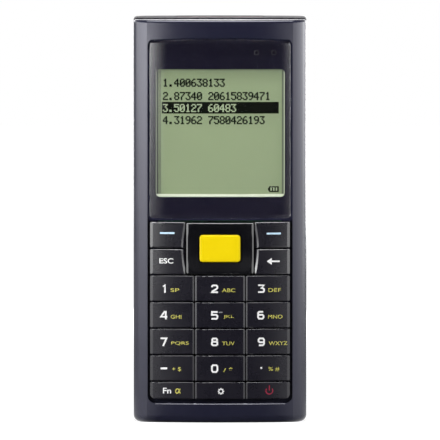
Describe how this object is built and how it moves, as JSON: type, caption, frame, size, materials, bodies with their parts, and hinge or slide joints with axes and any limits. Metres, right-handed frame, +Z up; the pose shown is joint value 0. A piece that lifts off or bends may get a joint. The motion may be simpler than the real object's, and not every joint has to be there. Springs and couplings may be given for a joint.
{
  "type": "portable barcode data terminal",
  "caption": "Handheld barcode terminal with a grey-green display behind a flush lens, a number keypad, a tilting ring round a yellow scan key and a hinged battery door.",
  "frame": {"origin": "middle of the bottom end, at the height of the face the terminal stands on and half way through the thickness of the scanner head", "axes": "+X to the right seen from the keypad side, -Y out of the display, +Z up from the bottom end to the scan window"},
  "size_m": [0.0582, 0.03, 0.136],
  "materials": {
    "housing": "satin moulded polycarbonate, dark violet grey",
    "latch": "satin moulded plastic",
    "seal": "matt silicone",
    "screw_steel": "zinc plated steel",
    "clear_lens": "clear polished acrylic",
    "black_film": "black ink on film",
    "pale_plastic": "off-white moulded frame",
    "lcd_glass": "grey-green reflective liquid crystal glass",
    "light_guide": "white acrylic light guide",
    "flex_film": "amber polyimide film",
    "led_epoxy": "milky epoxy",
    "mat_rubber": "matt silicone",
    "dome_foil": "translucent polyester sheet",
    "gloss_black": "polished black plastic",
    "key_plastic": "hard coated plastic cap, dark grey",
    "yellow_plastic": "yellow moulded cap",
    "board": "green solder resist on glass epoxy",
    "chip_epoxy": "moulded epoxy packages",
    "tinned_steel": "tinned sheet steel",
    "cast_metal": "die-cast zinc and aluminium",
    "engine_optic": "coated optic",
    "red_window": "dark red clear plastic",
    "speaker_black": "moulded frame with a cloth-like cone",
    "battery_wrap": "black moulded case",
    "gold_contact": "gold plated brass"
  },
  "bodies": {
    "terminal": {"front_housing": "housing", "rear_housing": "housing", "housing_seal": "seal", "window_gasket": "seal", "housing_screws": "screw_steel", "board_screws": "screw_steel", "display_lens": "clear_lens", "lens_film": "black_film", "lcd_frame": "pale_plastic", "lcd_panel": "lcd_glass", "lcd_backlight": "light_guide", "lcd_flex": "flex_film", "status_leds": "led_epoxy", "keypad_mat": "mat_rubber", "dome_sheet": "dome_foil", "main_board": "board", "board_chips": "chip_epoxy", "shield_can": "tinned_steel", "memory_card_socket": "tinned_steel", "backup_cell": "tinned_steel", "scan_engine": "cast_metal", "scan_lens": "engine_optic", "scan_window": "red_window", "speaker": "speaker_black", "battery_pack": "battery_wrap", "battery_contacts": "gold_contact", "dock_contacts": "gold_contact", "strap_pin": "screw_steel"},
    "ring_carrier": {"nav_plate": "mat_rubber"},
    "arrow_ring": {"nav_ring": "gloss_black"},
    "scan_key": {"scan_key": "yellow_plastic"},
    "battery_door": {"battery_door": "housing"},
    "door_latch": {"door_latch": "latch"},
    "key_soft_left": {"key_soft_left": "key_plastic"},
    "key_soft_right": {"key_soft_right": "key_plastic"},
    "key_escape": {"key_escape": "key_plastic"},
    "key_back": {"key_back": "key_plastic"},
    "key_1": {"key_1": "key_plastic"},
    "key_2": {"key_2": "key_plastic"},
    "key_3": {"key_3": "key_plastic"},
    "key_4": {"key_4": "key_plastic"},
    "key_5": {"key_5": "key_plastic"},
    "key_6": {"key_6": "key_plastic"},
    "key_7": {"key_7": "key_plastic"},
    "key_8": {"key_8": "key_plastic"},
    "key_9": {"key_9": "key_plastic"},
    "key_minus": {"key_minus": "key_plastic"},
    "key_0": {"key_0": "key_plastic"},
    "key_dot": {"key_dot": "key_plastic"},
    "key_function": {"key_function": "key_plastic"},
    "key_backlight": {"key_backlight": "key_plastic"},
    "key_power": {"key_power": "key_plastic"}
  },
  "joints": [
    {"name": "arrow_ring_tilt", "type": "hinge", "parent": "terminal", "child": "ring_carrier", "pos_m": [0, -0.0096, 0.05874], "axis": [1, 0, 0], "range_deg": [-2, 2], "stiffness_Nm_per_rad": 0.16},
    {"name": "arrow_ring_rock", "type": "hinge", "parent": "ring_carrier", "child": "arrow_ring", "pos_m": [0, -0.01045, 0.05874], "axis": [0, 0, 1], "range_deg": [-2, 2], "stiffness_Nm_per_rad": 0.16},
    {"name": "battery_door_hinge", "type": "hinge", "parent": "terminal", "child": "battery_door", "pos_m": [0, 0.005, 0.0122], "axis": [-1, 0, 0], "range_deg": [0, 75]},
    {"name": "centre_scan_key_press", "type": "slide", "parent": "terminal", "child": "scan_key", "axis": [0, 1, 0], "range_m": [0, 0.0006], "stiffness_N_per_m": 1500},
    {"name": "door_latch_slide", "type": "slide", "parent": "battery_door", "child": "door_latch", "axis": [0, 0, 1], "range_m": [0, 0.0022]},
    {"name": "key_soft_left_press", "type": "slide", "parent": "terminal", "child": "key_soft_left", "axis": [0, 1, 0], "range_m": [0, 0.0006], "stiffness_N_per_m": 1500},
    {"name": "key_soft_right_press", "type": "slide", "parent": "terminal", "child": "key_soft_right", "axis": [0, 1, 0], "range_m": [0, 0.0006], "stiffness_N_per_m": 1500},
    {"name": "key_escape_press", "type": "slide", "parent": "terminal", "child": "key_escape", "axis": [0, 1, 0], "range_m": [0, 0.0006], "stiffness_N_per_m": 1500},
    {"name": "key_back_press", "type": "slide", "parent": "terminal", "child": "key_back", "axis": [0, 1, 0], "range_m": [0, 0.0006], "stiffness_N_per_m": 1500},
    {"name": "key_1_press", "type": "slide", "parent": "terminal", "child": "key_1", "axis": [0, 1, 0], "range_m": [0, 0.0006], "stiffness_N_per_m": 1500},
    {"name": "key_2_press", "type": "slide", "parent": "terminal", "child": "key_2", "axis": [0, 1, 0], "range_m": [0, 0.0006], "stiffness_N_per_m": 1500},
    {"name": "key_3_press", "type": "slide", "parent": "terminal", "child": "key_3", "axis": [0, 1, 0], "range_m": [0, 0.0006], "stiffness_N_per_m": 1500},
    {"name": "key_4_press", "type": "slide", "parent": "terminal", "child": "key_4", "axis": [0, 1, 0], "range_m": [0, 0.0006], "stiffness_N_per_m": 1500},
    {"name": "key_5_press", "type": "slide", "parent": "terminal", "child": "key_5", "axis": [0, 1, 0], "range_m": [0, 0.0006], "stiffness_N_per_m": 1500},
    {"name": "key_6_press", "type": "slide", "parent": "terminal", "child": "key_6", "axis": [0, 1, 0], "range_m": [0, 0.0006], "stiffness_N_per_m": 1500},
    {"name": "key_7_press", "type": "slide", "parent": "terminal", "child": "key_7", "axis": [0, 1, 0], "range_m": [0, 0.0006], "stiffness_N_per_m": 1500},
    {"name": "key_8_press", "type": "slide", "parent": "terminal", "child": "key_8", "axis": [0, 1, 0], "range_m": [0, 0.0006], "stiffness_N_per_m": 1500},
    {"name": "key_9_press", "type": "slide", "parent": "terminal", "child": "key_9", "axis": [0, 1, 0], "range_m": [0, 0.0006], "stiffness_N_per_m": 1500},
    {"name": "key_minus_press", "type": "slide", "parent": "terminal", "child": "key_minus", "axis": [0, 1, 0], "range_m": [0, 0.0006], "stiffness_N_per_m": 1500},
    {"name": "key_0_press", "type": "slide", "parent": "terminal", "child": "key_0", "axis": [0, 1, 0], "range_m": [0, 0.0006], "stiffness_N_per_m": 1500},
    {"name": "key_dot_press", "type": "slide", "parent": "terminal", "child": "key_dot", "axis": [0, 1, 0], "range_m": [0, 0.0006], "stiffness_N_per_m": 1500},
    {"name": "key_function_press", "type": "slide", "parent": "terminal", "child": "key_function", "axis": [0, 1, 0], "range_m": [0, 0.0006], "stiffness_N_per_m": 1500},
    {"name": "key_backlight_press", "type": "slide", "parent": "terminal", "child": "key_backlight", "axis": [0, 1, 0], "range_m": [0, 0.0006], "stiffness_N_per_m": 1500},
    {"name": "key_power_press", "type": "slide", "parent": "terminal", "child": "key_power", "axis": [0, 1, 0], "range_m": [0, 0.0006], "stiffness_N_per_m": 1500}
  ]
}
